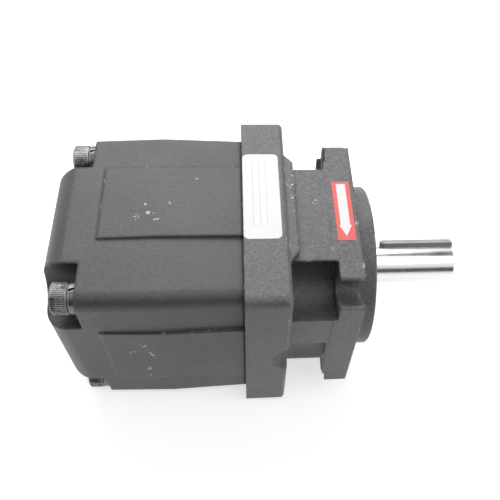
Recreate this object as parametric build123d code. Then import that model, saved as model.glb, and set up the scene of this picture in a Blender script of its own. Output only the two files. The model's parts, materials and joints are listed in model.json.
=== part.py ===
from build123d import *
import math
import os

os.makedirs("parts", exist_ok=True)

# Driving sizes in millimetres. The shaft runs along X, its free end at +X, and Z is up.
# The origin is the centre of the mounting face, where the shaft axis crosses it.
PILOT_R = 50.8
PILOT_H = 11.2
PILOT_CHAMFER = 0.8
FLANGE_HALF = 59.8
FLANGE_T = 16.5
FLANGE_LIP_R = 1.2
NOTCH_AT = 44.9
NOTCH_W = 14.3
SPOT_FACE_DEPTH = 2.5
NECK_HALF = 59.5
NECK_SLANT_WIDE = 29.5
NECK_SLANT_TALL = 46.5
NECK_POCKET_R = 17.0
SIDE_COVE_R = 16.5
SIDE_COVE_OUT = 13.5
SIDE_COVE_DROP = 1.5
PLATE_HALF = 65.4
PLATE_R = 5.5
PLATE_T = 25.1
PLATE_CHAMFER = 1.6
LAND_T = 5.0
LAND_HALF = 32.0
LAND_SLANT = 6.0
LAND_CORNER_R = 86.3
JOINT_X = -65.6

BODY_JOINT_HALF = 58.7
BODY_CREST_HALF = 59.9
BODY_END_HALF = 58.6
CREST_X = -113.0
BODY_END_X = -174.0
RIB_R = 8.0
REAR_R = 15.0
PAD_JOINT_H = 2.0
PAD_CREST_H = 1.4
PAD_END_H = 1.0
PAD_END_X = -145.5
TOP_PAD_NEAR = -18.6
TOP_PAD_FAR = 32.0
SIDE_PAD_TOP = 28.5
SIDE_PAD_BOTTOM = -30.0
HIDDEN_PAD_HALF = 28.0

BOLT_AT = 48.5
BOLT_R = 6.0
BOLT_CLEARANCE = 0.6
BOLT_HEAD_R = 9.0
BOLT_HEAD_H = 10.0
BOLT_HEAD_CHAMFER = 0.8
BOLT_BITE = 20.6
POCKET_R = 18.0
POCKET_X = -152.8
WASHER_T = 3.4
SOCKET_R = 5.8

CAVITY_R = 46.0
INLET_R = 19.8
INLET_BOSS_R = 27.5
INLET_FACE_Y = 65.0
OUTLET_R = 15.6
SUCTION_DEPTH = 4.0
SUCTION_SPARE = 0.35
CHAMBER_T = 5.0
SPRING_H = 3.9

SHAFT_END_X = 70.8
SHAFT_R = 12.7
SHAFT_CHAMFER = 1.2
SEAL_SEAT_R = 14.0
BEARING_BORE_R = 15.0
SPLINE_R = 12.8
SPLINE_ROOT_R = 11.0
SPLINE_TEETH = 12
JOURNAL_R = 9.5
KEY_W = 6.35
KEY_TOP = 15.5
KEY_FLOOR = 8.8
KEY_X0 = 22.8
KEY_X1 = 70.4
KEY_TURN = -36.0

BEARING_OD_R = 31.0
BEARING_W = 16.0
BEARING_X = -41.0
BALLS = 9
PLAY = 0.01
CLIP_T = 1.6
CLIP_GROOVE = 2.0

SEAL_R = 26.0
SEAL_W = 8.0
SEAL_INSET = 2.0
SEAL_WALL = 1.2
GARTER_R = 0.8

SIDE_PLATE_T = 12.0
CAM_W = 32.0
PRESSURE_PLATE_T = 18.0
ROTOR_GAP = 0.03
VANES = 10
VANE_T = 2.4
SLOT_SPARE = 0.02
SLOT_ROOT_R = 2.0
VANE_TURN = 18.0
PORT_TURN = 45.0
PIN_R = 2.5
PIN_HEAD_R = 4.2
PIN_HEAD_H = 4.8
SEAL_CORD = 2.4
JOINT_CORD = 2.1

# Sizes that follow from the driving ones.
PLATE_FRONT = JOINT_X + PLATE_T
PLATE_LAND = PLATE_FRONT + LAND_T
NECK_LOW = NECK_HALF - NECK_SLANT_TALL
SIDE_COVE_Y = NECK_HALF + SIDE_COVE_OUT
BOLT_END_X = JOINT_X + BOLT_BITE
SIDE_X = JOINT_X - SIDE_PLATE_T
CAM_X = SIDE_X - CAM_W
REAR_X = CAM_X - PRESSURE_PLATE_T
SHOULDER_X = REAR_X - SPRING_H
CHAMBER_END_X = SHOULDER_X - CHAMBER_T
CHAMBER_R = CAVITY_R - 6.0
SUCTION_R = CAVITY_R + SUCTION_DEPTH
JOINT_GROOVE_R = SUCTION_R + 1.6
INLET_X = (SIDE_X + CAM_X) / 2
SUCTION_X0 = INLET_X + INLET_R + SUCTION_SPARE
SUCTION_X1 = INLET_X - INLET_R - SUCTION_SPARE
CAM_OUT_R = CAVITY_R - 2.0
CAM_MIN_R = 0.62 * CAVITY_R
CAM_LIFT = 0.085 * CAVITY_R
CAM_MAX_R = CAM_MIN_R + CAM_LIFT
ROTOR_R = CAM_MIN_R - 0.5
SLOT_FOOT_R = 0.63 * ROTOR_R
VANE_FOOT_R = SLOT_FOOT_R + 1.6
PORT_R0 = ROTOR_R - 3.4
PORT_R1 = CAM_MAX_R - 0.8
PIN_AT = (CAM_MAX_R + CAM_OUT_R) / 2
PITCH_R = (BEARING_OD_R + BEARING_BORE_R) / 2
BALL_R = 0.297 * (BEARING_OD_R - BEARING_BORE_R)
RACE_R = 1.04 * BALL_R
RACE_SHIFT = RACE_R - BALL_R - PLAY
BEARING_END_X = BEARING_X + BEARING_W
BEARING_MID_X = (BEARING_X + BEARING_END_X) / 2
RING_IN_R = PITCH_R - BALL_R / 2
RING_OUT_R = PITCH_R + BALL_R / 2
SHOULDER_R = RING_IN_R - 2.7
CLIP_EAR_Z = 3.0 - BEARING_OD_R
SEAL_END = PILOT_H - SEAL_INSET
SEAL_X0 = SEAL_END - SEAL_W


def rod(x0, x1, r, y=0.0, z=0.0):
    # a round bar along the shaft direction
    flat = Plane.YZ.offset(min(x0, x1)) * Pos(y, z) * Circle(r)
    return extrude(flat, abs(x1 - x0))


def tube(x0, x1, r_out, r_in, y=0.0, z=0.0):
    # a round sleeve along the shaft direction
    flat = Plane.YZ.offset(min(x0, x1)) * Pos(y, z) * (Circle(r_out) - Circle(r_in))
    return extrude(flat, abs(x1 - x0))


def prism(x0, x1, flat):
    # a drawn outline pulled along the shaft direction
    return extrude(Plane.YZ.offset(min(x0, x1)) * flat, abs(x1 - x0))


def turned(points):
    # a ring or shaft turned about X from its half outline in X and radius
    line = Polyline(*[(x, r) for x, r in points], close=True)
    return revolve(Plane.XY * make_face(line), Axis.X, 360)


def cord_ring(x0, r_in, width, height):
    # a round cord squeezed into its groove, with flats where it touches
    a = width * 0.27
    b = height * 0.27
    return turned(
        [
            (x0 + a, r_in),
            (x0 + width - a, r_in),
            (x0 + width, r_in + b),
            (x0 + width, r_in + height - b),
            (x0 + width - a, r_in + height),
            (x0 + a, r_in + height),
            (x0, r_in + height - b),
            (x0, r_in + b),
        ]
    )


def around(shape, angle):
    # the shape turned about the shaft axis
    return shape.rotate(Axis.X, angle)


def joined(shapes):
    # several separate solids kept in one file
    return Compound(children=list(shapes))


corners = [(a, b) for a in (1, -1) for b in (1, -1)]


# Front housing: the mounting flange with its pilot, the neck and the clamping plate.
flange_flat = Rectangle(2 * FLANGE_HALF, 2 * FLANGE_HALF)
for a, b in corners:
    turn = math.degrees(math.atan2(b, a))
    notch = Circle(NOTCH_W / 2) + Pos(FLANGE_HALF, 0) * Rectangle(2 * FLANGE_HALF, NOTCH_W)
    flange_flat -= Pos(a * NOTCH_AT, b * NOTCH_AT) * Rot(0, 0, turn) * notch
edge = FLANGE_HALF - 0.01
lips = [v for v in flange_flat.vertices() if max(abs(v.X), abs(v.Y)) > edge]
flange_flat = fillet(lips, FLANGE_LIP_R)
flange = prism(-FLANGE_T, 0, flange_flat)

plate_flat = RectangleRounded(2 * PLATE_HALF, 2 * PLATE_HALF, PLATE_R)
plate = prism(JOINT_X, PLATE_FRONT, plate_flat)
plate = chamfer(plate.faces().sort_by(Axis.X)[-1].edges(), PLATE_CHAMFER)

land_line = Polyline(
    (-LAND_HALF - LAND_SLANT, PLATE_FRONT),
    (-LAND_HALF, PLATE_LAND),
    (LAND_HALF, PLATE_LAND),
    (LAND_HALF + LAND_SLANT, PLATE_FRONT),
    (LAND_HALF + LAND_SLANT, JOINT_X + 2),
    (-LAND_HALF - LAND_SLANT, JOINT_X + 2),
    close=True,
)
land_face = Plane((0, 0, 0), x_dir=(0, 1, 0), z_dir=(0, 0, -1)) * make_face(land_line)
land = extrude(land_face, PLATE_HALF - PLATE_CHAMFER, both=True)
land = land & rod(JOINT_X, 0, LAND_CORNER_R)

neck_line = Polyline(
    (-NECK_HALF, NECK_HALF),
    (NECK_HALF - NECK_SLANT_WIDE, NECK_HALF),
    (NECK_HALF, NECK_LOW),
    (NECK_HALF, -NECK_HALF),
    (NECK_SLANT_WIDE - NECK_HALF, -NECK_HALF),
    (-NECK_HALF, -NECK_LOW),
    close=True,
)
neck = prism(PLATE_FRONT - PLATE_CHAMFER, -FLANGE_T, make_face(neck_line))

front_housing = plate + land + neck + flange
neck_mid = (PLATE_FRONT - FLANGE_T) / 2
for a, b in corners:
    y = a * NOTCH_AT
    z = b * NOTCH_AT
    outer = Pos(neck_mid, y + a * PLATE_HALF / 2, z + b * PLATE_HALF / 2) * Box(
        -PLATE_FRONT - FLANGE_T, PLATE_HALF, PLATE_HALF
    )
    front_housing -= rod(PLATE_FRONT, -FLANGE_T + SPOT_FACE_DEPTH, NECK_POCKET_R, y, z) + outer
for a in (1, -1):
    y = a * SIDE_COVE_Y
    z = a * SIDE_COVE_DROP
    cove = rod(PLATE_LAND, -FLANGE_T - 1.5, SIDE_COVE_R, y, z)
    front_housing -= cove + Pos(PLATE_LAND, y, z) * Sphere(SIDE_COVE_R)

pilot = turned(
    [
        (-2, SEAL_SEAT_R),
        (-2, PILOT_R),
        (PILOT_H - PILOT_CHAMFER, PILOT_R),
        (PILOT_H, PILOT_R - PILOT_CHAMFER),
        (PILOT_H, SEAL_SEAT_R),
    ]
)
front_housing += pilot
front_housing -= rod(SEAL_X0, PILOT_H + 1, SEAL_R)
front_housing -= rod(BEARING_END_X, SEAL_X0, PITCH_R + 1)
front_housing -= rod(JOINT_X - 1, BEARING_END_X, BEARING_OD_R)
front_housing -= rod(BEARING_X - CLIP_GROOVE, BEARING_X, BEARING_OD_R + CLIP_GROOVE)
front_housing -= tube(JOINT_X, JOINT_X + JOINT_CORD, JOINT_GROOVE_R + JOINT_CORD + 1.3, JOINT_GROOVE_R)
for a, b in corners:
    front_housing -= rod(JOINT_X - 1, BOLT_END_X + 2, BOLT_R, a * BOLT_AT, b * BOLT_AT)

# Rear body: a drafted square casting with rounded corner ribs and a domed rear edge.
front_ends = ((CREST_X, BODY_CREST_HALF), (JOINT_X, BODY_JOINT_HALF))
body_front = loft(
    Sketch()
    + [Plane.YZ.offset(x) * RectangleRounded(2 * h, 2 * h, RIB_R) for x, h in front_ends]
)
rear_ends = ((BODY_END_X, BODY_END_HALF), (CREST_X, BODY_CREST_HALF))
body_rear = loft(
    Sketch()
    + [Plane.YZ.offset(x) * RectangleRounded(2 * h, 2 * h, RIB_R) for x, h in rear_ends]
)
dome_flat = make_face(
    Polyline(
        (CREST_X, BODY_CREST_HALF + 1),
        (CREST_X, -BODY_CREST_HALF - 1),
        (BODY_END_X, -BODY_END_HALF),
        (BODY_END_X, BODY_END_HALF),
        close=True,
    )
)
dome_ends = [v for v in dome_flat.vertices() if v.X < CREST_X - 1]
dome = extrude(fillet(dome_ends, REAR_R), 2 * BODY_CREST_HALF, both=True)
body_rear = body_rear & dome & around(dome, 90)
rear_body = body_front + body_rear


def pad(low, high):
    # one raised pad on the top side, with its highest line over the casting's crest
    slope = (BODY_CREST_HALF - BODY_END_HALF) / (CREST_X - BODY_END_X)
    end = BODY_CREST_HALF - slope * (CREST_X - PAD_END_X) + PAD_END_H
    side = Polyline(
        (JOINT_X, CAVITY_R),
        (JOINT_X, BODY_JOINT_HALF + PAD_JOINT_H),
        (CREST_X, BODY_CREST_HALF + PAD_CREST_H),
        (PAD_END_X + PAD_END_H, end),
        (PAD_END_X - 0.4, end - PAD_END_H - 0.6),
        (PAD_END_X - 0.4, CAVITY_R),
        close=True,
    )
    flat = Plane((0, low, 0), x_dir=(1, 0, 0), z_dir=(0, -1, 0)) * make_face(side)
    return extrude(flat, low - high)


rear_body += pad(TOP_PAD_NEAR, TOP_PAD_FAR)
rear_body += around(pad(SIDE_PAD_BOTTOM, SIDE_PAD_TOP), 90)
rear_body += around(pad(-HIDDEN_PAD_HALF, HIDDEN_PAD_HALF), 180)
rear_body += around(pad(-HIDDEN_PAD_HALF, HIDDEN_PAD_HALF), -90)

boss = Plane.XZ.offset(-INLET_FACE_Y) * Pos(INLET_X, 0) * Circle(INLET_BOSS_R)
rear_body += extrude(boss, INLET_FACE_Y - BODY_JOINT_HALF + 4)
rear_body -= rod(JOINT_X + 1, SHOULDER_X, CAVITY_R)
rear_body -= rod(SUCTION_X0, SUCTION_X1, SUCTION_R)
rear_body -= rod(SHOULDER_X + 1, CHAMBER_END_X, CHAMBER_R)
rear_body -= rod(CHAMBER_END_X + 1, BODY_END_X - 1, OUTLET_R)
inlet = Plane.XZ.offset(-INLET_FACE_Y - 1) * Pos(INLET_X, 0) * Circle(INLET_R)
rear_body -= extrude(inlet, INLET_FACE_Y - CAVITY_R + 2.5)
pocket_mid = (BODY_END_X - 1 + POCKET_X) / 2
for a, b in corners:
    y = a * BOLT_AT
    z = b * BOLT_AT
    scoop = rod(BODY_END_X - 1, POCKET_X, POCKET_R, y, z)
    scoop += Pos(pocket_mid, y + a * BODY_END_HALF / 2, z + b * BODY_END_HALF / 2) * Box(
        POCKET_X - BODY_END_X + 1, BODY_END_HALF, BODY_END_HALF
    )
    rear_body -= scoop
    rear_body -= rod(POCKET_X - 1, JOINT_X + 1, BOLT_R + BOLT_CLEARANCE, y, z)

# The four long screws from the rear and the spring washers under their heads.
screws = []
washers = []
seat_x = POCKET_X - WASHER_T
for a, b in corners:
    y = a * BOLT_AT
    z = b * BOLT_AT
    head = rod(seat_x - BOLT_HEAD_H, seat_x, BOLT_HEAD_R, y, z)
    head = chamfer(head.faces().sort_by(Axis.X)[0].edges(), BOLT_HEAD_CHAMFER)
    shank = rod(seat_x, BOLT_END_X, BOLT_R, y, z)
    socket = Plane.YZ.offset(seat_x - BOLT_HEAD_H) * Pos(y, z) * RegularPolygon(SOCKET_R, 6)
    screws.append(head + shank - extrude(socket, BOLT_HEAD_H / 2))
    ring = tube(seat_x, POCKET_X, BOLT_HEAD_R - 0.2, BOLT_R + 0.2, y, z)
    split = Pos((seat_x + POCKET_X) / 2, y, z + BOLT_HEAD_R - 1.5) * Rot(0, 0, 20) * Box(20, 1.6, 6)
    washers.append(ring - split)

# Shaft: drive end with its keyway, seal seat, bearing seat, spline and rear journal.
shaft = turned(
    [
        (REAR_X + 2, 0),
        (REAR_X + 2, JOURNAL_R - 0.8),
        (REAR_X + 2.8, JOURNAL_R),
        (CAM_X - 1, JOURNAL_R),
        (CAM_X, SPLINE_ROOT_R),
        (SIDE_X + 4, SPLINE_ROOT_R),
        (SIDE_X + 6, SEAL_SEAT_R),
        (BEARING_X - 6, SEAL_SEAT_R),
        (BEARING_X - 5, SHOULDER_R),
        (BEARING_X, SHOULDER_R),
        (BEARING_X, BEARING_BORE_R),
        (BEARING_END_X, BEARING_BORE_R),
        (BEARING_END_X, BEARING_BORE_R - 1),
        (BEARING_END_X + CLIP_T, BEARING_BORE_R - 1),
        (BEARING_END_X + CLIP_T, BEARING_BORE_R),
        (SEAL_X0 - 4, BEARING_BORE_R),
        (SEAL_X0 - 3, SEAL_SEAT_R),
        (PILOT_H - 1, SEAL_SEAT_R),
        (PILOT_H, SHAFT_R),
        (SHAFT_END_X - SHAFT_CHAMFER, SHAFT_R),
        (SHAFT_END_X, SHAFT_R - SHAFT_CHAMFER),
        (SHAFT_END_X, 0),
    ]
)
for i in range(SPLINE_TEETH):
    tooth = Pos((CAM_X + SIDE_X) / 2 + 1.5, 0, SPLINE_R - 1.5) * Box(CAM_W + 3, 3.0, 3.0)
    shaft += around(tooth, 360 * i / SPLINE_TEETH)
key_round_x = KEY_X0 + KEY_W / 2
key_flat = Pos(key_round_x, 0) * Circle(KEY_W / 2)
key_flat += Pos((key_round_x + KEY_X1) / 2, 0) * Rectangle(KEY_X1 - key_round_x, KEY_W)
key_blank = Pos(0, 0, KEY_FLOOR) * extrude(key_flat, KEY_TOP - KEY_FLOOR)
keyway = Pos(0, 0, KEY_FLOOR) * extrude(key_flat, SHAFT_R)
open_end = Pos(SHAFT_END_X, 0, KEY_FLOOR + SHAFT_R / 2) * Box(
    2 * (SHAFT_END_X - KEY_X1) + 1, KEY_W, SHAFT_R
)
shaft -= around(keyway + open_end, KEY_TURN)
shaft_key = around(key_blank, KEY_TURN)

# Shaft seal: pressed case, rubber lip and the small coil spring round it.
case_in_r = SEAL_SEAT_R + 4.5
seal_case = turned(
    [
        (SEAL_X0, SEAL_R),
        (SEAL_END, SEAL_R),
        (SEAL_END, case_in_r),
        (SEAL_END - SEAL_WALL, case_in_r),
        (SEAL_END - SEAL_WALL, SEAL_R - SEAL_WALL),
        (SEAL_X0, SEAL_R - SEAL_WALL),
    ]
)
spring_at_r = SEAL_SEAT_R + 3.4
seal_lip = turned(
    [
        (SEAL_END, case_in_r),
        (SEAL_END, SEAL_SEAT_R + 2.5),
        (SEAL_END - 2.6, SEAL_SEAT_R + 1.2),
        (SEAL_END - 4.6, SEAL_SEAT_R + 0.02),
        (SEAL_X0 + 0.4, SEAL_SEAT_R + 1.4),
        (SEAL_X0 + 0.4, spring_at_r),
        (SEAL_X0 + 1.6, spring_at_r),
        (SEAL_X0 + 2.0, spring_at_r - GARTER_R),
        (SEAL_X0 + 3.6, spring_at_r - GARTER_R),
        (SEAL_X0 + 4.2, spring_at_r + 0.6),
        (SEAL_END - SEAL_WALL, case_in_r + 1),
        (SEAL_END - SEAL_WALL, case_in_r),
    ]
)
garter_spring = cord_ring(SEAL_X0 + 2.0, spring_at_r - GARTER_R, 2 * GARTER_R, 2 * GARTER_R)

# Ball bearing at the shaft's shoulder, with its cage and the two clips that hold it.
race = Pos(BEARING_MID_X, 0, 0) * Rot(0, 90, 0) * Torus(PITCH_R + RACE_SHIFT, RACE_R)
bearing_inner_ring = turned(
    [
        (BEARING_X, BEARING_BORE_R),
        (BEARING_X, RING_IN_R - 0.6),
        (BEARING_X + 0.6, RING_IN_R),
        (BEARING_END_X - 0.6, RING_IN_R),
        (BEARING_END_X, RING_IN_R - 0.6),
        (BEARING_END_X, BEARING_BORE_R),
    ]
)
bearing_inner_ring -= race
race = Pos(BEARING_MID_X, 0, 0) * Rot(0, 90, 0) * Torus(PITCH_R - RACE_SHIFT, RACE_R)
bearing_outer_ring = turned(
    [
        (BEARING_X, RING_OUT_R + 0.6),
        (BEARING_X, BEARING_OD_R - 0.6),
        (BEARING_X + 0.6, BEARING_OD_R),
        (BEARING_END_X - 0.6, BEARING_OD_R),
        (BEARING_END_X, BEARING_OD_R - 0.6),
        (BEARING_END_X, RING_OUT_R + 0.6),
        (BEARING_END_X - 0.6, RING_OUT_R),
        (BEARING_X + 0.6, RING_OUT_R),
    ]
)
bearing_outer_ring -= race
balls = []
cage_half = 1.18 * BALL_R
cage_wall = 0.3 * BALL_R
bearing_cage = tube(
    BEARING_MID_X - cage_half, BEARING_MID_X + cage_half, PITCH_R + cage_wall, PITCH_R - cage_wall
)
for i in range(BALLS):
    angle = 360 * i / BALLS
    spot = Pos(BEARING_MID_X, 0, PITCH_R)
    balls.append(around(spot * Sphere(BALL_R), angle))
    bearing_cage -= around(spot * Sphere(BALL_R + 2 * PLAY), angle)

clip_x = BEARING_X - CLIP_T
clip_out_r = BEARING_OD_R + CLIP_GROOVE - 0.2
housing_clip = tube(clip_x, BEARING_X, clip_out_r, BEARING_OD_R - 3.5)
housing_clip -= Pos(BEARING_X, 0, CLIP_EAR_Z - 2) * Box(2 * CLIP_T + 1, 9, 12)
for a in (1, -1):
    ear = tube(clip_x, BEARING_X, 3.0, 1.2, a * 7.0, CLIP_EAR_Z)
    housing_clip += ear - rod(clip_x - 1, BEARING_X + 1, 1.2, a * 7.0, CLIP_EAR_Z)
housing_clip = housing_clip & rod(clip_x - 1, BEARING_X + 1, clip_out_r)
shaft_clip = tube(BEARING_END_X, BEARING_END_X + CLIP_T - 0.1, BEARING_BORE_R + 3.4, BEARING_BORE_R - 1)
shaft_clip -= Pos(BEARING_END_X, 0, -BEARING_BORE_R - 2) * Box(4 * CLIP_T, 6, 10)

# Pumping cartridge: front side plate, cam ring, slotted rotor, vanes and pressure plate.


def cam_radius(angle):
    # the smooth two-lobe track: low at 0 and 180 degrees, high at 90 and 270
    return CAM_MIN_R + CAM_LIFT * (1 - math.cos(2 * math.radians(angle))) / 2


def polar(r, angle):
    # a point at one radius and angle round the shaft
    return (r * math.cos(math.radians(angle)), r * math.sin(math.radians(angle)))


track = [polar(cam_radius(t), t) for t in range(0, 360, 6)]
cam_flat = Circle(CAM_OUT_R) - make_face(Spline(*track, periodic=True))
cam_ring = prism(CAM_X, SIDE_X, cam_flat)


def kidney(x0, x1, middle, reach, r0, r1):
    # a curved port slot centred on one angle
    arc = tube(x0, x1, r1, r0)
    far = 2 * r1
    wedge = Polyline((0, 0), polar(far, -reach), (far, 0), polar(far, reach), close=True)
    slot = arc & prism(x0, x1, make_face(wedge))
    for side in (-reach, reach):
        y, z = polar((r0 + r1) / 2, side)
        slot += rod(x0, x1, (r1 - r0) / 2, y, z)
    return around(slot, middle)


front_side_plate = tube(SIDE_X, JOINT_X, CAVITY_R, SEAL_SEAT_R + 0.6)
side_groove_x = SIDE_X + SIDE_PLATE_T - 5.0
front_side_plate -= tube(side_groove_x, side_groove_x + SEAL_CORD + 0.2, CAVITY_R + 1, CAVITY_R - SEAL_CORD)
pressure_plate = tube(REAR_X, CAM_X, CAVITY_R, JOURNAL_R + 3)
rear_groove_x = REAR_X + PRESSURE_PLATE_T * 0.4
rear_groove_w = 2 * SEAL_CORD + 0.2
pressure_plate -= tube(rear_groove_x, rear_groove_x + rear_groove_w, CAVITY_R + 1, CAVITY_R - SEAL_CORD)
feed_r0 = SLOT_FOOT_R - 1.4
feed_r1 = SLOT_FOOT_R + 1.4
for half_turn in (0, 180):
    suction = PORT_TURN + half_turn
    pressure = suction + 90
    front_side_plate -= kidney(SIDE_X, SIDE_X + 4, suction, 22, PORT_R0, PORT_R1)
    front_side_plate -= kidney(SIDE_X, SIDE_X + 4, suction, 8, PORT_R1 - 4, CAVITY_R + 6)
    pressure_plate -= kidney(CAM_X - 4, CAM_X, suction, 22, PORT_R0, PORT_R1)
    pressure_plate -= kidney(CAM_X - 4, CAM_X, suction, 8, PORT_R1 - 4, CAVITY_R + 6)
    front_side_plate -= kidney(SIDE_X, SIDE_X + 2, pressure, 22, PORT_R0, PORT_R1)
    pressure_plate -= kidney(REAR_X, CAM_X, pressure, 22, PORT_R0, PORT_R1)
    for quarter in (0, 90):
        middle = half_turn + quarter
        pressure_plate -= kidney(CAM_X - 3, CAM_X, middle, 26, feed_r0, feed_r1)
        front_side_plate -= kidney(SIDE_X, SIDE_X + 3, middle, 26, feed_r0, feed_r1)

rotor = prism(CAM_X + ROTOR_GAP, SIDE_X - ROTOR_GAP, Circle(ROTOR_R) - Circle(SPLINE_ROOT_R - 1))
rotor -= shaft
slot_end_r = ROTOR_R + CAM_LIFT
slot_flat = Pos((SLOT_FOOT_R + slot_end_r) / 2, 0) * Rectangle(
    slot_end_r - SLOT_FOOT_R, VANE_T + 2 * SLOT_SPARE
)
slot_flat += Pos(SLOT_FOOT_R, 0) * Circle(SLOT_ROOT_R)
vane_flat = Pos((VANE_FOOT_R + ROTOR_R) / 2, 0) * Rectangle(ROTOR_R - VANE_FOOT_R, VANE_T)
tip_r = 0.96 * VANE_T
vane_tip = Pos(CAM_MIN_R - 0.05 - tip_r, 0) * Circle(tip_r)
vane_flat += vane_tip & Pos(CAM_MIN_R - 1, 0) * Rectangle(VANE_T, VANE_T)
vanes = []
for i in range(VANES):
    angle = VANE_TURN + 360 * i / VANES
    rotor -= around(prism(CAM_X - 1, SIDE_X + 1, slot_flat), angle)
    blade = prism(CAM_X + ROTOR_GAP, SIDE_X - ROTOR_GAP, vane_flat)
    vanes.append(around(blade, angle))

rear_bush = tube(REAR_X + 3, CAM_X - 1.2, JOURNAL_R + 3, JOURNAL_R + 0.02)
dowels = []
cartridge_screws = []
for half_turn in (0, 180):
    y, z = polar(PIN_AT, half_turn)
    pin = rod(CAM_X - 12, JOINT_X - 2, PIN_R, y, z)
    dowels.append(chamfer(pin.edges().filter_by(GeomType.CIRCLE), 0.4))
    front_side_plate -= pin
    cam_ring -= pin
    pressure_plate -= pin
    for side in (-22, 22):
        y, z = polar(PIN_AT, half_turn + side)
        head = rod(JOINT_X - 0.4 - PIN_HEAD_H, JOINT_X - 0.4, PIN_HEAD_R, y, z)
        socket = Plane.YZ.offset(JOINT_X - 3.2) * Pos(y, z) * RegularPolygon(PIN_R - 0.2, 6)
        shank = rod(CAM_X - 12, JOINT_X - PIN_HEAD_H, PIN_R, y, z)
        cartridge_screws.append(head + shank - extrude(socket, 4))
        front_side_plate -= rod(JOINT_X - 0.4 - PIN_HEAD_H, JOINT_X + 1, PIN_HEAD_R + 0.3, y, z)
        front_side_plate -= rod(SIDE_X, JOINT_X, PIN_R + 0.2, y, z)
        cam_ring -= rod(CAM_X, SIDE_X, PIN_R + 0.2, y, z)
        pressure_plate -= rod(CAM_X - 14, CAM_X, PIN_R, y, z)

# Sealing rings, the back-up ring and the spring that presses the pressure plate forward.
cord_in_r = CAVITY_R - SEAL_CORD
joint_o_ring = cord_ring(JOINT_X, JOINT_GROOVE_R + 0.6, JOINT_CORD, JOINT_CORD)
side_o_ring = cord_ring(side_groove_x, cord_in_r, SEAL_CORD, SEAL_CORD)
plate_o_ring = cord_ring(rear_groove_x + SEAL_CORD, cord_in_r, SEAL_CORD, SEAL_CORD)
backup_ring = tube(rear_groove_x, rear_groove_x + SEAL_CORD - 0.2, CAVITY_R, cord_in_r)
spring_in_r = CHAMBER_R + 1.6
preload_spring = turned(
    [
        (REAR_X, spring_in_r),
        (REAR_X, spring_in_r + 1),
        (SHOULDER_X + 1.2, CAVITY_R - 0.6),
        (SHOULDER_X, CAVITY_R - 0.6),
        (SHOULDER_X, CAVITY_R - 1.6),
        (REAR_X - 1.2, spring_in_r),
    ]
)

pieces = {
    "front_housing": front_housing,
    "rear_body": rear_body,
    "body_screws": joined(screws),
    "lock_washers": joined(washers),
    "shaft": shaft,
    "shaft_key": shaft_key,
    "seal_case": seal_case,
    "seal_lip": seal_lip,
    "garter_spring": garter_spring,
    "bearing_outer_ring": bearing_outer_ring,
    "bearing_inner_ring": bearing_inner_ring,
    "bearing_balls": joined(balls),
    "bearing_cage": bearing_cage,
    "housing_clip": housing_clip,
    "shaft_clip": shaft_clip,
    "front_side_plate": front_side_plate,
    "cam_ring": cam_ring,
    "rotor": rotor,
    "pressure_plate": pressure_plate,
    "rear_bush": rear_bush,
    "dowel_pins": joined(dowels),
    "cartridge_screws": joined(cartridge_screws),
    "joint_o_ring": joint_o_ring,
    "side_plate_o_ring": side_o_ring,
    "pressure_plate_o_ring": plate_o_ring,
    "backup_ring": backup_ring,
    "preload_spring": preload_spring,
}
for i, blade in enumerate(vanes):
    pieces[f"vane_{i + 1:02d}"] = blade
for name, shape in pieces.items():
    export_step(shape, f"parts/{name}.step")
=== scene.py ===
import json
import math
import random

import bmesh
import bpy
from mathutils import Matrix, Vector


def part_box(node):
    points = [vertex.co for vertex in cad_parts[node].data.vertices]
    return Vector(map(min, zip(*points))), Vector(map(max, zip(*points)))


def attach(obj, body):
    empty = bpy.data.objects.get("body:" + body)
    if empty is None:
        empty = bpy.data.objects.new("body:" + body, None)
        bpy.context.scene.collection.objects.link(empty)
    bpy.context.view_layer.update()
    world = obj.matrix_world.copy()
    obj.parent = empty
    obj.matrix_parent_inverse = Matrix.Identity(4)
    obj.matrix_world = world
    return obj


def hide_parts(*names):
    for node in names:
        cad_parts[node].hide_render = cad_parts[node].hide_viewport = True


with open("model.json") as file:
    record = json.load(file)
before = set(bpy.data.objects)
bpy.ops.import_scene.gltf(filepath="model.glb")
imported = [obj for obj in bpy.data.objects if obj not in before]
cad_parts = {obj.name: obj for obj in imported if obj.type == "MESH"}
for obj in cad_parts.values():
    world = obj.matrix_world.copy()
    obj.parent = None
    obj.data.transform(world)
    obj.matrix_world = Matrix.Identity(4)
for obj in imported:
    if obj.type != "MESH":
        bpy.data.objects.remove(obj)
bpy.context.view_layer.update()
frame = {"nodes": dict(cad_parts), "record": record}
scene = bpy.context.scene
scene.view_settings.view_transform = "Standard"
nodes = frame["nodes"]

# Camera: close above the pump's near rear side, looking down on it, with the picture's centre
# moved off the lens axis. Its place was worked out from the flange, pilot and shaft.
CAMERA_AT = Vector((-0.06611, -0.22331, 0.34468))
CAMERA_BACK = Vector((-0.09107, -0.55386, 0.82761)).normalized()
CAMERA_RIGHT = Vector((0.99565, -0.06726, 0.06454))
camera_data = bpy.data.cameras.new("camera")
camera_data.sensor_width = 36.0
camera_data.lens = 45.54
camera_data.shift_x = -0.1011
camera_data.shift_y = 0.0127
camera = bpy.data.objects.new("camera", camera_data)
scene.collection.objects.link(camera)
scene.camera = camera
camera_up = CAMERA_BACK.cross(CAMERA_RIGHT).normalized()
camera_axes = Matrix((camera_up.cross(CAMERA_BACK), camera_up, CAMERA_BACK)).transposed()
camera.matrix_world = Matrix.Translation(CAMERA_AT) @ camera_axes.to_4x4()


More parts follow.
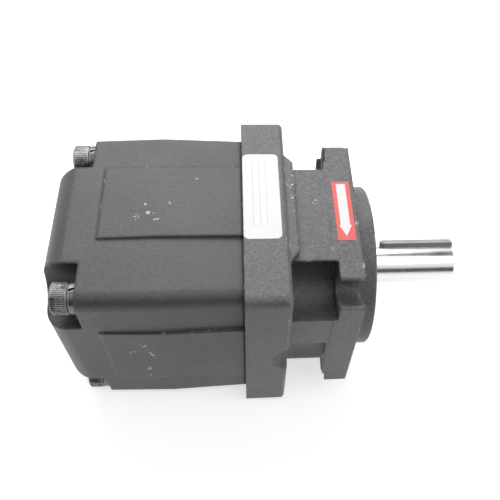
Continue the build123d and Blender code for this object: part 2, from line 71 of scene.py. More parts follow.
# Table and room: a sheet of white paper, two soft lamps, and three screens of dark cloth that the
# castings' rounded edges and the polished shaft mirror. The pump lies on the lower edge of its
# clamping plate and on the rear end of the body's lower pad, so the sheet slopes to both.
def add_node(tree, kind, inputs=None, **settings):
    """A shader node. inputs are its sockets' values, or the sockets that feed them."""
    node = tree.nodes.new(kind)
    for name, value in settings.items():
        setattr(node, name, value)
    for name, value in (inputs or {}).items():
        if isinstance(value, bpy.types.NodeSocket):
            tree.links.new(value, node.inputs[name])
        else:
            node.inputs[name].default_value = value
    return node


def mix_colour(tree, factor, a, b):
    mix = add_node(tree, "ShaderNodeMix", {"Factor": factor, "A": a, "B": b}, data_type="RGBA")
    return mix.outputs["Result"]


def grey(level):
    return (level, level, level, 1.0)


def new_material(name):
    """An empty material and its tree."""
    material = bpy.data.materials.new(name)
    material.use_nodes = True
    material.node_tree.nodes.clear()
    return material, material.node_tree


def mesh_object(name, build):
    """A piece of the scene from the faces that were built, all turned outward."""
    bmesh.ops.recalc_face_normals(build, faces=build.faces)
    mesh = bpy.data.meshes.new(name)
    build.to_mesh(mesh)
    build.free()
    made = bpy.data.objects.new(name, mesh)
    scene.collection.objects.link(made)
    return made


def flat_sheet(name, wide, tall):
    build = bmesh.new()
    bmesh.ops.create_grid(build, x_segments=2, y_segments=2, size=0.5)
    bmesh.ops.scale(build, verts=build.verts, vec=(wide, tall, 1.0))
    return mesh_object(name, build)


def backdrop_rays(tree):
    """1 for the rays that show the room itself: those of the camera, of metal and of glass."""
    path = add_node(tree, "ShaderNodeLightPath").outputs
    seen = path["Is Camera Ray"]
    for kind in ("Is Glossy Ray", "Is Transmission Ray"):
        either = add_node(tree, "ShaderNodeMath", {0: seen, 1: path[kind]}, operation="MAXIMUM")
        seen = either.outputs[0]
    return seen


plate_low, plate_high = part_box("front_housing")
JOINT_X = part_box("rear_body")[1].x
BODY_REST_X = -0.1445
BODY_REST_Z = -0.0602
TABLE_WIDTH = 6.0
PAPER_GLOW = 0.62
table = flat_sheet("table", TABLE_WIDTH, TABLE_WIDTH)
table.location = (JOINT_X, 0.0, plate_low.z)
table.rotation_euler.y = math.atan2(BODY_REST_Z - plate_low.z, JOINT_X - BODY_REST_X)
paper, tree = new_material("white_paper")
grain = add_node(tree, "ShaderNodeTexNoise", {"Scale": 60.0, "Detail": 3.0}).outputs["Fac"]
tone = mix_colour(tree, grain, grey(0.84), grey(0.88))
sheet = add_node(tree, "ShaderNodeBsdfDiffuse", {"Color": tone}).outputs[0]
glow = add_node(tree, "ShaderNodeEmission", {"Color": grey(1.0), "Strength": PAPER_GLOW}).outputs[0]
bright_sheet = add_node(tree, "ShaderNodeAddShader", {0: sheet, 1: glow}).outputs[0]
mixed = add_node(tree, "ShaderNodeMixShader", {0: backdrop_rays(tree), 1: sheet, 2: bright_sheet})
add_node(tree, "ShaderNodeOutputMaterial", {"Surface": mixed.outputs[0]})
table.data.materials.append(paper)

screen_cloth, tree = new_material("dark_cloth")
weave = add_node(tree, "ShaderNodeTexNoise", {"Scale": 30.0}).outputs["Fac"]
tone = mix_colour(tree, weave, grey(0.05), grey(0.09))
cloth = add_node(tree, "ShaderNodeBsdfDiffuse", {"Color": tone})
add_node(tree, "ShaderNodeOutputMaterial", {"Surface": cloth.outputs[0]})
for name, place, wide, tall in (
    ("near_screen", Vector((0.0, -0.80, 0.24)), 1.3, 0.40),
    ("rib_screen", Vector((-0.38, -0.72, 0.52)), 0.92, 0.62),
    ("upper_screen", Vector((0.42, 0.33, 0.83)), 0.50, 0.44),
):
    screen = flat_sheet(name, wide, tall)
    screen.location = place
    screen.rotation_euler = (-place).to_track_quat("-Z", "Y").to_euler()
    screen.visible_camera = False
    screen.data.materials.append(screen_cloth)

ROOM_LIGHT = 0.5
ROOM_SEEN = 1.0
room = bpy.data.worlds.new("room")
scene.world = room
room.use_nodes = True
tree = room.node_tree
tree.nodes.clear()
shown = mix_colour(tree, backdrop_rays(tree), grey(ROOM_LIGHT), grey(ROOM_SEEN))
light = add_node(tree, "ShaderNodeBackground", {"Color": shown, "Strength": 1.0})
add_node(tree, "ShaderNodeOutputWorld", {"Surface": light.outputs[0]})

LAMPS_AIM = Vector((-0.05, 0.0, 0.0))
for name, place, size, power in (
    ("window_lamp", Vector((-0.14, 0.74, 0.80)), 0.85, 7.6),
    ("ceiling_lamp", Vector((0.22, -0.22, 0.98)), 0.70, 1.7),
):
    lamp_data = bpy.data.lights.new(name, "AREA")
    lamp_data.size = size
    lamp_data.energy = power
    lamp = bpy.data.objects.new(name, lamp_data)
    scene.collection.objects.link(lamp)
    lamp.location = place
    lamp.rotation_euler = (LAMPS_AIM - place).to_track_quat("-Z", "Y").to_euler()


# Front housing: a sand casting in satin black paint. The paint is thin on the sand grain, chipped
# to the iron on the plate's and flange's edges, and rubbed pale where the pump was handled.
def new_group(name, inputs, outputs):
    """An empty shared effect, with its inputs and outputs. Sockets are (name, kind, value)."""
    group = bpy.data.node_groups.new(name, "ShaderNodeTree")
    for label, kind, value in inputs:
        made = group.interface.new_socket(label, in_out="INPUT", socket_type=f"NodeSocket{kind}")
        made.default_value = value
    for label, kind in outputs:
        group.interface.new_socket(label, in_out="OUTPUT", socket_type=f"NodeSocket{kind}")
    return group, group.nodes.new("NodeGroupInput").outputs, group.nodes.new("NodeGroupOutput")


def use_group(tree, group, inputs):
    """A shared effect placed in a material, as its outputs."""
    return add_node(tree, "ShaderNodeGroup", inputs, node_tree=group).outputs


def math_node(tree, operation, a, b, clamp=False):
    """One sum, as its output socket."""
    node = add_node(tree, "ShaderNodeMath", {0: a, 1: b}, operation=operation, use_clamp=clamp)
    return node.outputs[0]


def noise(tree, scale, detail=2.0, roughness=0.5, stretch=None):
    """Noise in the frame's own metres, as its value. stretch pulls it out along the axes."""
    place = add_node(tree, "ShaderNodeTexCoord").outputs["Object"]
    if stretch:
        place = add_node(tree, "ShaderNodeMapping", {"Vector": place, "Scale": stretch}).outputs[0]
    values = {"Vector": place, "Scale": scale, "Detail": detail, "Roughness": roughness}
    return add_node(tree, "ShaderNodeTexNoise", values).outputs["Fac"]


def ramp(tree, value, low, high, start=0.0, end=1.0):
    """The value moved from low..high to start..end, held at the ends."""
    limits = {"Value": value, "From Min": low, "From Max": high, "To Min": start, "To Max": end}
    return add_node(tree, "ShaderNodeMapRange", limits).outputs[0]


def relief(tree, height, strength, depth, corner=None):
    """Fine relief from a height, as a normal, on corners that look rounded to the radius corner."""
    values = {"Strength": strength, "Distance": depth, "Height": height}
    if corner:
        soft = add_node(tree, "ShaderNodeBevel", {"Radius": corner}, samples=4)
        values["Normal"] = soft.outputs[0]
    return add_node(tree, "ShaderNodeBump", values).outputs[0]


def close_material(tree, tone, rough, normal, metallic=0.0):
    """Makes the surface that a material's colour, roughness and relief belong to."""
    values = {"Base Color": tone, "Metallic": metallic, "Roughness": rough, "Normal": normal}
    surface = add_node(tree, "ShaderNodeBsdfPrincipled", values)
    add_node(tree, "ShaderNodeOutputMaterial", {"Surface": surface.outputs[0]})


# the grain of moulding sand under paint: bumps of about a millimetre, and a value for the tone
sand, given, result = new_group(
    "sand_grain",
    [("Size", "Float", 900.0), ("Depth", "Float", 0.00025)],
    [("Normal", "Vector"), ("Tone", "Float")],
)
coarse_size = math_node(sand, "MULTIPLY", given["Size"], 0.42)
fine = noise(sand, given["Size"], detail=3.0)
coarse = noise(sand, coarse_size, detail=4.0)
fine_part = math_node(sand, "MULTIPLY", fine, 0.55)
coarse_part = math_node(sand, "MULTIPLY", coarse, 0.9)
height = math_node(sand, "ADD", fine_part, coarse_part)
sand.links.new(relief(sand, height, 0.6, given["Depth"]), result.inputs["Normal"])
sand.links.new(coarse, result.inputs["Tone"])

# where an edge is worn through: 1 along outer edges, broken up by noise. Through bright_corners it
# also places the painted glints on the screws and washers
wear, given, result = new_group(
    "edge_wear", [("Radius", "Float", 0.0012), ("Amount", "Float", 0.5)], [("Mask", "Float")]
)
rounded = add_node(wear, "ShaderNodeBevel", {"Radius": given["Radius"]}, samples=4).outputs[0]
flat = add_node(wear, "ShaderNodeNewGeometry").outputs["Normal"]
along = add_node(wear, "ShaderNodeVectorMath", {0: rounded, 1: flat}, operation="DOT_PRODUCT")
edge = ramp(wear, along.outputs["Value"], 0.995, 0.93)
patchy = noise(wear, 130.0, detail=5.0, roughness=0.65)
threshold = math_node(wear, "SUBTRACT", 1.0, given["Amount"])
past = math_node(wear, "SUBTRACT", patchy, threshold)
broken = math_node(wear, "MULTIPLY", past, 14.0, clamp=True)
wear.links.new(math_node(wear, "MULTIPLY", edge, broken), result.inputs["Mask"])

# pale chips and rubs scattered within a reach of one place
rubs, given, result = new_group(
    "rubs_near",
    [("Place", "Vector", (0.0, 0.0, 0.0)), ("Reach", "Float", 0.01), ("Size", "Float", 400.0)],
    [("Mask", "Float")],
)
place = add_node(rubs, "ShaderNodeTexCoord").outputs["Object"]
gap = add_node(rubs, "ShaderNodeVectorMath", {0: place, 1: given["Place"]}, operation="DISTANCE")
part = math_node(rubs, "DIVIDE", gap.outputs["Value"], given["Reach"])
near = math_node(rubs, "SUBTRACT", 1.0, part, clamp=True)
spots = noise(rubs, given["Size"])
spotted = math_node(rubs, "ADD", math_node(rubs, "MULTIPLY", near, 0.34), spots)
rubs.links.new(ramp(rubs, spotted, 0.79, 0.84), result.inputs["Mask"])

GRAIN_SIZE = 1500.0
BARE_IRON = (0.62, 0.61, 0.59, 1.0)
CHIP_DEPTH = 0.00015


def painted_casting(name, level, speckled, grain_depth, edge_amount, soft_radius, rub_places):
    """Satin black paint over cast iron, with chips along edges and rubs at the given places.

    level is how pale the paint is, and speckled how far the sand's grain moves it. soft_radius is
    how round the casting's corners look. A rub has its place, its reach and the chips' size.
    """
    material, tree = new_material(name)
    grain = use_group(tree, sand, {"Size": GRAIN_SIZE, "Depth": grain_depth})
    cloud = noise(tree, 22.0, detail=3.0)
    streak = noise(tree, 420.0, detail=3.0, stretch=(0.25, 1.0, 1.0))
    speckle = ramp(tree, grain["Tone"], 0.36, 0.66)
    tone = mix_colour(tree, speckle, grey(level * (1.0 - speckled)), grey(level * (1.0 + speckled)))
    tone = mix_colour(tree, ramp(tree, cloud, 0.35, 0.7, end=0.4), tone, grey(1.4 * level))
    tone = mix_colour(tree, ramp(tree, streak, 0.5, 0.8, end=0.2), tone, grey(1.6 * level))
    chips = use_group(tree, wear, {"Radius": 0.0011, "Amount": edge_amount})["Mask"]
    for rub_place, reach, size in rub_places:
        rub = use_group(tree, rubs, {"Place": rub_place, "Reach": reach, "Size": size})["Mask"]
        chips = math_node(tree, "MAXIMUM", chips, rub)
    stray = ramp(tree, noise(tree, 170.0, detail=5.0, roughness=0.7), 0.745, 0.765)
    chips = math_node(tree, "MAXIMUM", chips, stray)
    tone = mix_colour(tree, chips, tone, BARE_IRON)
    rough = ramp(tree, cloud, 0.3, 0.75, 0.38, 0.52)
    rough = math_node(tree, "ADD", rough, math_node(tree, "MULTIPLY", chips, 0.15))
    corners = {"Radius": soft_radius, "Normal": grain["Normal"]}
    soft = add_node(tree, "ShaderNodeBevel", corners, samples=6).outputs[0]
    dented = {"Strength": 0.5, "Distance": CHIP_DEPTH, "Height": chips, "Normal": soft}
    dents = add_node(tree, "ShaderNodeBump", dented, invert=True).outputs[0]
    close_material(tree, tone, rough, dents)
    return material


def finish_pieces(material, *names):
    """Puts a material on pieces whose shapes come from the frame as they are."""
    for name in names:
        nodes[name].data.materials.clear()
        nodes[name].data.materials.append(material)


LAND_EDGE_X = -0.0357
LAND_EDGE_Z = plate_high.z - 0.0008
FLANGE_TOP = 0.0598
FLANGE_EDGE_X = -0.0005
FLANGE_EDGE_Z = FLANGE_TOP - 0.0006
NECK_TOP = 0.0595
housing_rubs = [
    (Vector((LAND_EDGE_X, 0.0230, LAND_EDGE_Z)), 0.0045, 800.0),
    (Vector((LAND_EDGE_X, 0.0140, LAND_EDGE_Z)), 0.0060, 700.0),
    (Vector((LAND_EDGE_X, 0.0060, LAND_EDGE_Z)), 0.0060, 700.0),
    (Vector((LAND_EDGE_X, -0.0030, LAND_EDGE_Z)), 0.0045, 900.0),
    (Vector((FLANGE_EDGE_X, -0.0110, FLANGE_EDGE_Z)), 0.0060, 900.0),
    (Vector((FLANGE_EDGE_X, -0.0400, FLANGE_EDGE_Z)), 0.0050, 900.0),
    (Vector((-0.0240, 0.0060, NECK_TOP)), 0.0030, 800.0),
]
housing_paint = painted_casting(
    "housing_paint",
    level=0.132,
    speckled=0.3,
    grain_depth=0.0005,
    edge_amount=0.46,
    soft_radius=0.002,
    rub_places=housing_rubs,
)
finish_pieces(housing_paint, "front_housing")


# Shaft seal, pressed into the pilot's mouth: a steel case, the rubber lip moulded to it, and the
# ring spring round the lip. Only the case's face and the lip show.
def turned_metal(name, colour, roughness, ring_scale=2200.0, spread=0.18, ring_depth=0.00001):
    """Machined metal: fine rings left by the tool round the shaft, small stains and rubs."""
    material, tree = new_material(name)
    dark = tuple(channel * (1.0 - spread) for channel in colour) + (1.0,)
    light = colour + (1.0,)
    rings = noise(tree, ring_scale, stretch=(1.0, 0.03, 0.03))
    stain = noise(tree, 90.0, detail=4.0, roughness=0.6)
    tone = mix_colour(tree, rings, dark, light)
    tone = mix_colour(tree, ramp(tree, stain, 0.5, 0.78, end=0.35), tone, dark)
    rough = ramp(tree, stain, 0.3, 0.8, roughness * 0.85, roughness * 1.35)
    rough = math_node(tree, "ADD", rough, math_node(tree, "MULTIPLY", rings, 0.06))
    lines = relief(tree, rings, 0.35, ring_depth, corner=0.0003)
    close_material(tree, tone, rough, lines, metallic=1.0)
    return material


def soft_rubber(name, colour, roughness):
    """Moulded rubber or plastic with a faint bloom and fine pores."""
    material, tree = new_material(name)
    bloom = noise(tree, 140.0, detail=4.0)
    pores = noise(tree, 2600.0)
    dusty = tuple(min(1.0, channel * 1.6 + 0.015) for channel in colour) + (1.0,)
    tone = mix_colour(tree, ramp(tree, bloom, 0.45, 0.8), colour + (1.0,), dusty)
    rough = ramp(tree, bloom, 0.3, 0.8, roughness * 0.9, min(1.0, roughness * 1.2))
    close_material(tree, tone, rough, relief(tree, pores, 0.3, 0.00003))
    return material


finish_pieces(turned_metal("seal_case_steel", (0.42, 0.42, 0.41), 0.38), "seal_case")
finish_pieces(soft_rubber("seal_rubber", (0.045, 0.03, 0.025), 0.55), "seal_lip")
spring_steel = turned_metal("spring_steel", (0.5, 0.5, 0.49), 0.3)
finish_pieces(spring_steel, "garter_spring")

# Ball bearing behind the seal: two ground steel rings, and nine bright balls in a brass cage. A
# black spring clip holds each ring, one in the housing's bore and one on the shaft.
bearing_steel = turned_metal("bearing_steel", (0.68, 0.68, 0.69), 0.16)
finish_pieces(bearing_steel, "bearing_outer_ring", "bearing_inner_ring")
ball_steel = turned_metal(
    "ball_steel", (0.78, 0.78, 0.8), 0.06, ring_scale=900.0, spread=0.06, ring_depth=0.000002
)
finish_pieces(ball_steel, "bearing_balls")
finish_pieces(turned_metal("cage_brass", (0.72, 0.53, 0.25), 0.3), "bearing_cage")
finish_pieces(turned_metal("clip_steel", (0.16, 0.16, 0.16), 0.45), "housing_clip", "shaft_clip")


# Drive shaft and key: a steel shaft, ground and polished, with the faint rings of grinding round
# it, and a square key of drawn steel in its keyway, dull but for its rubbed corners.
def bright_corners(tree, tone, amount, level):
    """The tone with its sharp corners made pale: rubbed bare metal, and on the screws and washers
    also painted glints.
    """
    # pale corners: rubbed bare metal, and on the screws and washers also a painted highlight
    rubbed = use_group(tree, wear, {"Radius": 0.0005, "Amount": amount})["Mask"]
    return mix_colour(tree, rubbed, tone, grey(level))


shaft_steel = turned_metal(
    "shaft_steel", (0.8, 0.8, 0.8), 0.19, ring_scale=2600.0, spread=0.08, ring_depth=0.000002
)
finish_pieces(shaft_steel, "shaft")
key_steel, tree = new_material("key_steel")
drawn = noise(tree, 1500.0, detail=3.0, stretch=(0.05, 1.0, 1.0))
mottle = noise(tree, 230.0, detail=4.0)
tone = mix_colour(tree, drawn, (0.27, 0.265, 0.26, 1.0), (0.42, 0.41, 0.4, 1.0))
tone = mix_colour(tree, ramp(tree, mottle, 0.5, 0.75, end=0.5), tone, (0.12, 0.115, 0.11, 1.0))
tone = bright_corners(tree, tone, amount=0.62, level=0.6)
rough = ramp(tree, mottle, 0.3, 0.75, 0.36, 0.5)
lines = relief(tree, drawn, 0.4, 0.00002, corner=0.0004)
close_material(tree, tone, rough, lines, metallic=0.85)
finish_pieces(key_steel, "shaft_key")

# Pumping cartridge: iron side plates, ground cam ring and rotor, ten bright vanes, the bronze bush
# in the pressure plate, two dowels and four small screws that hold the set together.
plate_iron = turned_metal("side_plate_iron", (0.38, 0.37, 0.36), 0.4)
finish_pieces(plate_iron, "front_side_plate", "pressure_plate")
finish_pieces(turned_metal("cam_steel", (0.56, 0.56, 0.56), 0.26), "cam_ring")
finish_pieces(turned_metal("rotor_steel", (0.5, 0.5, 0.5), 0.3), "rotor")
finish_pieces(turned_metal("bush_bronze", (0.62, 0.4, 0.2), 0.3), "rear_bush")
finish_pieces(turned_metal("dowel_steel", (0.6, 0.6, 0.6), 0.2), "dowel_pins")
finish_pieces(turned_metal("small_screw_steel", (0.13, 0.13, 0.13), 0.42), "cartridge_screws")
vanes = [name for name in nodes if name.startswith("vane_")]
finish_pieces(turned_metal("vane_steel", (0.64, 0.64, 0.66), 0.18), *vanes)

# Sealing rings and preload spring: black rubber O-rings at the joint and round both plates, and a
# white plastic back-up ring. The steel spring presses the pressure plate forward.
ring_rubber = soft_rubber("ring_rubber", (0.022, 0.022, 0.022), 0.5)
finish_pieces(ring_rubber, "joint_o_ring", "side_plate_o_ring", "pressure_plate_o_ring")
finish_pieces(soft_rubber("backup_plastic", (0.8, 0.8, 0.76), 0.45), "backup_ring")
finish_pieces(spring_steel, "preload_spring")

# Rear body: a smoother casting in the same paint, with a cluster of chips on its top pad and a
# trail of scratches down the near side's pad.
PAD_TOP = 0.0613
body_rubs = [
    (Vector((-0.1213, 0.0035, PAD_TOP)), 0.005, 330.0),
    (Vector((-0.1176, -0.0023, PAD_TOP)), 0.005, 330.0),
    (Vector((-0.1124, -0.0066, PAD_TOP)), 0.004, 500.0),
    (Vector((-0.1240, -0.0050, PAD_TOP)), 0.004, 600.0),
    (Vector((-0.1058, 0.0039, PAD_TOP)), 0.0035, 600.0),
    (Vector((-0.0917, 0.0223, PAD_TOP)), 0.0025, 900.0),
    (Vector((-0.1220, -PAD_TOP, 0.0160)), 0.0075, 430.0),
    (Vector((-0.1214, -PAD_TOP, 0.0040)), 0.0075, 430.0),
    (Vector((-0.1300, -PAD_TOP, 0.0045)), 0.005, 520.0),
    (Vector((-0.1235, -PAD_TOP, -0.0170)), 0.006, 480.0),
    (Vector((-0.1245, -PAD_TOP, -0.0270)), 0.005, 480.0),
]
body_paint = painted_casting(
    "body_paint",
    level=0.074,
    speckled=0.18,
    grain_depth=0.00028,
    edge_amount=0.40,
    soft_radius=0.0026,
    rub_places=body_rubs,
)
finish_pieces(body_paint, "rear_body")


# Body screws: four long socket-head screws in worn black oxide, whose pale rubbed corners are
# also painted glints. The head's rim is knurled, its socket is a hexagon, and the far end carries
# the thread.
def wavy_rings(name, rings, corners):
    """A turned form whose radius may change round it. Each ring is (x, radius at an angle)."""
    build = bmesh.new()
    loops = []
    for x, radius in rings:
        loop = []
        for k in range(corners):
            angle = 2.0 * math.pi * k / corners
            r = radius(angle)
            loop.append(build.verts.new((x, r * math.cos(angle), r * math.sin(angle))))
        loops.append(loop)
    for first, second in zip(loops, loops[1:]):
        for k in range(corners):
            build.faces.new((first[k - 1], first[k], second[k], second[k - 1]))
    build.faces.new(loops[0])
    build.faces.new(loops[-1])
    return mesh_object(name, build)


def plain(r):
    return lambda angle: r


def knurled(r, depth, ridges):
    return lambda angle: r - depth * (0.5 - 0.5 * math.cos(ridges * angle))


def hexagon(r):
    """The outline of a six-sided socket, r at its corners."""
    sixth = math.pi / 3.0
    return lambda angle: r * math.cos(sixth / 2.0) / math.cos(angle % sixth - sixth / 2.0)


def threaded(r, depth, turn):
    """One ring of a screw thread, turn pitches along it."""
    def radius(angle):
        across = (turn - angle / (2.0 * math.pi)) % 1.0
        return r - depth * abs(2.0 * across - 1.0)
    return radius


screw_low, screw_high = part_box("body_screws")
SCREW_CORNERS = 192
HEAD_R = 0.009
HEAD_H = 0.010
BEVEL = 0.0005
FACE_R = HEAD_R - 0.0013
FOOT_ROUND_H = 0.0008
FOOT_ROUND_R = HEAD_R - 0.0003
FOOT_R = HEAD_R - 0.0006
KNURL_START = 0.0011
KNURL_STOP = 0.0014
KNURL_DEPTH = 0.00018
KNURL_RIDGES = 48
SOCKET_R = 0.0058
SOCKET_DEPTH = 0.0052
SOCKET_DRAFT = 0.0002
SHANK_R = 0.006
FILLET_R = 0.0004
FILLET_LENGTH = 0.0006
BOLT_AT = screw_high.y - HEAD_R
THREAD_PITCH = 0.00175
THREAD_TURNS = 11
THREAD_STEPS = 4
THREAD_DEPTH = 0.0008
THREAD_PLAY = 0.00005
TIP_BEVEL = 0.0012
top_x = screw_low.x
seat_x = top_x + HEAD_H
thread_x = screw_high.x - THREAD_TURNS * THREAD_PITCH
rings = [
    (top_x + SOCKET_DEPTH, hexagon(SOCKET_R - SOCKET_DRAFT)),
    (top_x + BEVEL, hexagon(SOCKET_R)),
    (top_x, plain(SOCKET_R + BEVEL)),
    (top_x, plain(FACE_R)),
    (top_x + BEVEL, plain(HEAD_R - BEVEL)),
    (top_x + KNURL_START, knurled(HEAD_R, KNURL_DEPTH, KNURL_RIDGES)),
    (seat_x - KNURL_STOP, knurled(HEAD_R, KNURL_DEPTH, KNURL_RIDGES)),
    (seat_x - FOOT_ROUND_H, plain(FOOT_ROUND_R)),
    (seat_x, plain(FOOT_R)),
    (seat_x, plain(SHANK_R + FILLET_R)),
    (seat_x + FILLET_LENGTH, plain(SHANK_R)),
    (thread_x, plain(SHANK_R)),
]
for k in range(1, THREAD_STEPS * THREAD_TURNS - 2):
    ring = threaded(SHANK_R - THREAD_PLAY, THREAD_DEPTH, k / THREAD_STEPS)
    rings.append((thread_x + k * THREAD_PITCH / THREAD_STEPS, ring))
rings.append((screw_high.x, plain(SHANK_R - TIP_BEVEL)))

screw_oxide, tree = new_material("worn_black_oxide_with_painted_glints")
handled = noise(tree, 320.0, detail=5.0, roughness=0.7)
patch = noise(tree, 75.0, detail=3.0)
tone = mix_colour(tree, handled, (0.03, 0.03, 0.031, 1.0), (0.1, 0.099, 0.1, 1.0))
tone = mix_colour(tree, ramp(tree, patch, 0.5, 0.75), tone, (0.15, 0.148, 0.15, 1.0))
# pale corners: partly rubbed bare steel and partly painted glints on the heads
tone = bright_corners(tree, tone, amount=0.56, level=0.75)
rough = ramp(tree, handled, 0.35, 0.7, 0.42, 0.24)
pits = relief(tree, handled, 0.4, 0.00004, corner=0.0003)
close_material(tree, tone, rough, pits, metallic=0.9)

random.seed(7)
for number, (side, level) in enumerate(((1, 1), (1, -1), (-1, 1), (-1, -1)), start=1):
    screw = wavy_rings(f"body_screw_{number}", rings, SCREW_CORNERS)
    own_turn = Matrix.Rotation(random.uniform(0.0, math.pi / 3.0), 4, "X")
    screw.data.transform(Matrix.Translation((0.0, side * BOLT_AT, level * BOLT_AT)) @ own_turn)
    screw.data.materials.append(screw_oxide)
    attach(screw, "housing")
    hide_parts("body_screws")

# Spring washers: split rings of spring steel under the screws' heads, dull grey with bright corners
# that are partly rubbed bare where they bite into the paint and partly a painted highlight.
washer_steel, tree = new_material("washer_steel")
mottle = noise(tree, 400.0, detail=4.0)
tone = mix_colour(tree, mottle, (0.1, 0.1, 0.1, 1.0), (0.24, 0.235, 0.235, 1.0))
# bright corners: partly rubbed bare steel and partly a painted highlight
tone = bright_corners(tree, tone, amount=0.7, level=0.8)
rough = ramp(tree, mottle, 0.3, 0.75, 0.28, 0.45)
pits = relief(tree, mottle, 0.3, 0.00003, corner=0.0004)
close_material(tree, tone, rough, pits, metallic=0.95)
finish_pieces(washer_steel, "lock_washers")

# Port threads: the suction port on the far side and the pressure port in the rear face, each with a
# straight thread of fine pitch cut in from its mouth.
PORT_PITCH = 0.00212
PORT_THREAD_DEPTH = 0.55 * PORT_PITCH
PORT_THREAD_START = 0.0025
RIDGE_FOOT = 0.46 * PORT_PITCH
RIDGE_CREST = 0.07 * PORT_PITCH
RIDGE_SUNK = 0.0001
RIDGE_STEPS = 64
RUN_OUT_STEPS = 24
cut_iron = turned_metal("cut_iron", (0.34, 0.33, 0.32), 0.36)


def port_thread(name, port, mouth, turns):
    """A thread's ridge wound inward from a port's mouth, on the wall of its bore."""
    inward = -Vector(port["axis"]).normalized()
    across = inward.orthogonal().normalized()
    around = inward.cross(across)
    wall_r = port["dims"]["r_mm"] / 1000.0
    steps = turns * RIDGE_STEPS
    build = bmesh.new()
    last = None
    for k in range(steps + 1):
        angle = 2.0 * math.pi * k / RIDGE_STEPS
        out = across * math.cos(angle) + around * math.sin(angle)
        centre = mouth + inward * (PORT_PITCH * k / RIDGE_STEPS)
        grown = min(1.0, k / RUN_OUT_STEPS, (steps - k) / RUN_OUT_STEPS)
        foot = out * (wall_r + RIDGE_SUNK)
        crest = out * (wall_r - PORT_THREAD_DEPTH * grown)
        row = [
            build.verts.new(centre - inward * RIDGE_FOOT + foot),
            build.verts.new(centre - inward * RIDGE_CREST + crest),
            build.verts.new(centre + inward * RIDGE_CREST + crest),
            build.verts.new(centre + inward * RIDGE_FOOT + foot),
        ]
        if last:
            for i in range(3):
                build.faces.new((last[i], last[i + 1], row[i + 1], row[i]))
        last = row
    made = mesh_object(name, build)
    made.data.materials.append(cut_iron)
    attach(made, "housing")


body_low, body_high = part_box("rear_body")
ports = {mount["name"]: mount for mount in frame["record"]["mounts"]}
inlet_mouth = Vector((ports["inlet_port"]["pos_m"][0], body_high.y - PORT_THREAD_START, 0.0))
outlet_mouth = Vector((body_low.x + PORT_THREAD_START, 0.0, 0.0))
port_thread("inlet_thread", ports["inlet_port"], inlet_mouth, turns=7)
port_thread("outlet_thread", ports["outlet_port"], outlet_mouth, turns=9)


# Rating label: a white foil with rounded corners, stuck along the plate's top edge. It carries
# three thin rules, and its rim is dirty.
def thin_patch(name, outline, low, high):
    """A flat sheet of any outline in X and Y, from one height to another."""
    build = bmesh.new()
    top = [build.verts.new((x, y, high)) for x, y in outline]
    bottom = [build.verts.new((x, y, low)) for x, y in outline]
    build.faces.new(top)
    build.faces.new(bottom)
    for k in range(len(outline)):
        build.faces.new((top[k - 1], top[k], bottom[k], bottom[k - 1]))
    return mesh_object(name, build)


def rounded_outline(x0, x1, y0, y1, r):
    """The corners of a rectangle, each as a quarter circle of six steps."""
    points = []
    for cx, cy, start in (
        (x1 - r, y1 - r, 0),
        (x0 + r, y1 - r, 90),
        (x0 + r, y0 + r, 180),
        (x1 - r, y0 + r, 270),
    ):
        for k in range(7):
            angle = math.radians(start + 15 * k)
            points.append((cx + r * math.cos(angle), cy + r * math.sin(angle)))
    return points


LABEL_REAR = JOINT_X + 0.0003
LABEL_FRONT = -0.0443
LABEL_NEAR = -0.0245
LABEL_FAR = 0.0372
LABEL_CORNER_R = 0.003
LABEL_PROUD = 0.00006
SHEET_SUNK = 0.0001
RULE_STEP = 0.0038
RULE_HALF = 0.0001
RULE_SOFT = 0.00015
RULES_REAR = LABEL_REAR + 0.0022
RULES_FRONT = LABEL_REAR + 0.0136
RULES_NEAR = LABEL_NEAR + 0.008
RULES_FAR = LABEL_FAR - 0.006
RULES_FADE = 0.0003
label = thin_patch(
    "rating_label",
    rounded_outline(LABEL_REAR, LABEL_FRONT, LABEL_NEAR, LABEL_FAR, LABEL_CORNER_R),
    plate_high.z - SHEET_SUNK,
    plate_high.z + LABEL_PROUD,
)
foil, tree = new_material("white_foil")
place = add_node(tree, "ShaderNodeTexCoord").outputs["Object"]
split = add_node(tree, "ShaderNodeSeparateXYZ", {0: place}).outputs
from_rear = math_node(tree, "SUBTRACT", split["X"], LABEL_REAR)
rows = math_node(tree, "PINGPONG", from_rear, RULE_STEP / 2.0)
rule_edge = RULE_STEP / 2.0 - RULE_HALF
printed = ramp(tree, rows, rule_edge - RULE_SOFT, rule_edge)
for axis, bound, fade in (
    ("X", RULES_REAR, RULES_FADE),
    ("X", RULES_FRONT, -RULES_FADE),
    ("Y", RULES_NEAR, RULES_FADE),
    ("Y", RULES_FAR, -RULES_FADE),
):
    printed = math_node(tree, "MULTIPLY", printed, ramp(tree, split[axis], bound, bound + fade))
smear = noise(tree, 90.0, detail=4.0)
smudged = ramp(tree, smear, 0.5, 0.8, end=0.5)
tone = mix_colour(tree, smudged, grey(0.93), (0.86, 0.86, 0.85, 1.0))
tone = mix_colour(tree, math_node(tree, "MULTIPLY", printed, 0.55), tone, grey(0.45))
dirt = use_group(tree, wear, {"Radius": 0.0006, "Amount": 0.6})["Mask"]
tone = mix_colour(tree, dirt, tone, (0.6, 0.6, 0.58, 1.0))
rough = ramp(tree, smear, 0.3, 0.8, 0.38, 0.5)
close_material(tree, tone, rough, relief(tree, smear, 0.15, 0.0001))
label.data.materials.append(foil)
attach(label, "housing")


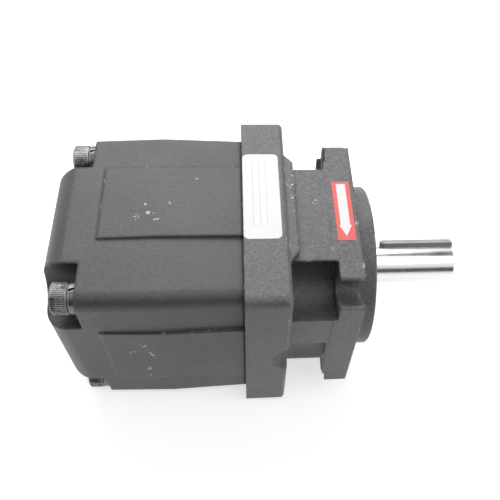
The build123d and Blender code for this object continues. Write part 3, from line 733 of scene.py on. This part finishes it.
# Rotation sign: a coral red sticker across the flange's top edge with a white arrow towards the
# near side, which is the way that the shaft's top turns.
def printed_film(name, colour, faded):
    """Printed vinyl film, faded and rubbed a little."""
    material, tree = new_material(name)
    worn = noise(tree, 260.0, detail=4.0)
    tone = mix_colour(tree, ramp(tree, worn, 0.45, 0.8), colour, faded)
    rough = ramp(tree, worn, 0.3, 0.8, 0.35, 0.5)
    close_material(tree, tone, rough, relief(tree, worn, 0.2, 0.00005))
    return material


STICKER_MID = -0.0078
STICKER_HALF = 0.0052
STICKER_NEAR = -0.0225
STICKER_FAR = 0.0200
STICKER_CORNER_R = 0.0006
STICKER_PROUD = 0.0001
ARROW_PROUD = 0.00014
ARROW_HALF = 0.0027
ARROW_BARB = 0.0036
ARROW_TAIL = STICKER_FAR - 0.0018
ARROW_NECK = STICKER_NEAR + 0.0105
ARROW_TIP = STICKER_NEAR + 0.0028
sticker = thin_patch(
    "rotation_sticker",
    rounded_outline(
        STICKER_MID - STICKER_HALF,
        STICKER_MID + STICKER_HALF,
        STICKER_NEAR,
        STICKER_FAR,
        STICKER_CORNER_R,
    ),
    FLANGE_TOP - SHEET_SUNK,
    FLANGE_TOP + STICKER_PROUD,
)
red_film = printed_film("red_film", (0.9, 0.115, 0.1, 1.0), (0.86, 0.17, 0.15, 1.0))
sticker.data.materials.append(red_film)
arrow = thin_patch(
    "rotation_arrow",
    [
        (STICKER_MID - ARROW_HALF, ARROW_TAIL),
        (STICKER_MID - ARROW_HALF, ARROW_NECK),
        (STICKER_MID - ARROW_BARB, ARROW_NECK),
        (STICKER_MID, ARROW_TIP),
        (STICKER_MID + ARROW_BARB, ARROW_NECK),
        (STICKER_MID + ARROW_HALF, ARROW_NECK),
        (STICKER_MID + ARROW_HALF, ARROW_TAIL),
    ],
    FLANGE_TOP,
    FLANGE_TOP + ARROW_PROUD,
)
arrow.data.materials.append(printed_film("white_film", grey(0.93), grey(0.85)))
for piece in (sticker, arrow):
    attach(piece, "housing")
